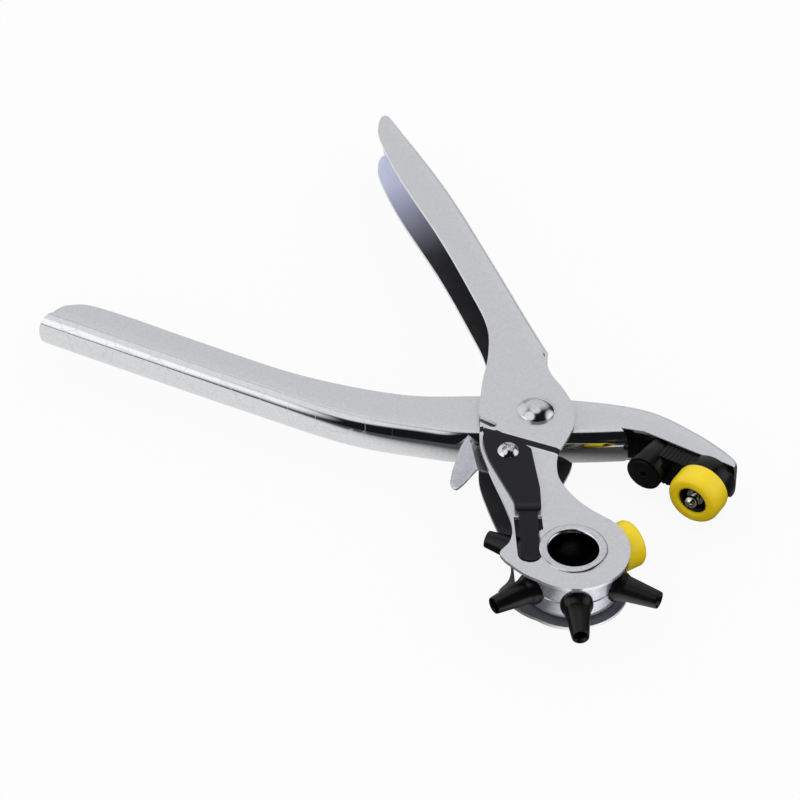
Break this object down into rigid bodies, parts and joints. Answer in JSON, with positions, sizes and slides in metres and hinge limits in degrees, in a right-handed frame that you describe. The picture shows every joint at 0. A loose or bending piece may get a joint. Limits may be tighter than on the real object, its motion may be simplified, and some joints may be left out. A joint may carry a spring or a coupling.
{
  "type": "grommet setter",
  "caption": "Hand plier that punches holes with a revolving turret of hollow punches and sets eyelets between ringed dies on a swivelling jaw carrier.",
  "frame": {"origin": "centre of the hollow hub's bore, on the tool's middle plane", "axes": "+Z along the hub's bore, out of the side that carries the detent spring; +Y from the hub to the main pivot; +X towards the jaw's side"},
  "size_m": [0.218, 0.259, 0.0262],
  "materials": {
    "plated_sheet_steel": "satin plating",
    "bright_plated_steel": "bright plating",
    "black_steel": "black oxide, semi-gloss",
    "black_moulding": "semi-gloss",
    "yellow_plastic": "smooth moulded"
  },
  "bodies": {
    "turret_frame": {"turret_handle": "plated_sheet_steel", "pivot_rivet": "bright_plated_steel", "front_washer": "black_steel", "rear_washer": "black_steel", "return_spring": "black_steel", "hub_rivet": "bright_plated_steel", "detent_spring": "black_steel", "spring_screw": "bright_plated_steel", "fork_spacer": "black_steel", "screw_nut": "bright_plated_steel"},
    "jaw": {"jaw_handle": "plated_sheet_steel", "jaw_block": "black_moulding", "carrier_pin": "bright_plated_steel"},
    "turret": {"drum_upper": "bright_plated_steel", "drum_lower": "bright_plated_steel", "punch_1": "black_steel", "punch_2": "black_steel", "punch_3": "black_steel", "punch_4": "black_steel", "punch_5": "black_steel", "turret_die": "black_steel", "turret_die_ring": "yellow_plastic"},
    "die_carrier": {"carrier": "black_moulding", "anvil_pad": "black_steel", "jaw_die_body": "black_steel", "jaw_die_ring": "yellow_plastic", "jaw_die_spring": "bright_plated_steel"},
    "locating_pin": {"jaw_die_pin": "bright_plated_steel"},
    "catch": {"lock_catch": "bright_plated_steel"}
  },
  "joints": [
    {"name": "handle_pivot", "type": "hinge", "parent": "turret_frame", "child": "jaw", "pos_m": [0, 0.0652, 0], "axis": [0, 0, 1], "range_deg": [-25.6, 0], "stiffness_Nm_per_rad": 0.4, "springref_deg": 2.86, "deforming": ["return_spring"]},
    {"name": "turret_turn", "type": "hinge", "parent": "turret_frame", "child": "turret", "pos_m": [0, 0, 0], "axis": [0, 0, 1], "continuous": true},
    {"name": "carrier_swivel", "type": "hinge", "parent": "jaw", "child": "die_carrier", "pos_m": [0.04481, 0.04087, 0], "axis": [-0.6508, -0.7593, 0], "range_deg": [0, 180]},
    {"name": "pin_slide", "type": "slide", "parent": "die_carrier", "child": "locating_pin", "axis": [-0.6508, -0.7593, 0], "range_m": [-0.0016, 0], "stiffness_N_per_m": 40, "deforming": ["jaw_die_spring"]},
    {"name": "catch_turn", "type": "hinge", "parent": "turret_frame", "child": "catch", "pos_m": [-0.0125, 0.0476, 0], "axis": [0, 0, 1], "range_deg": [0, 25]}
  ]
}
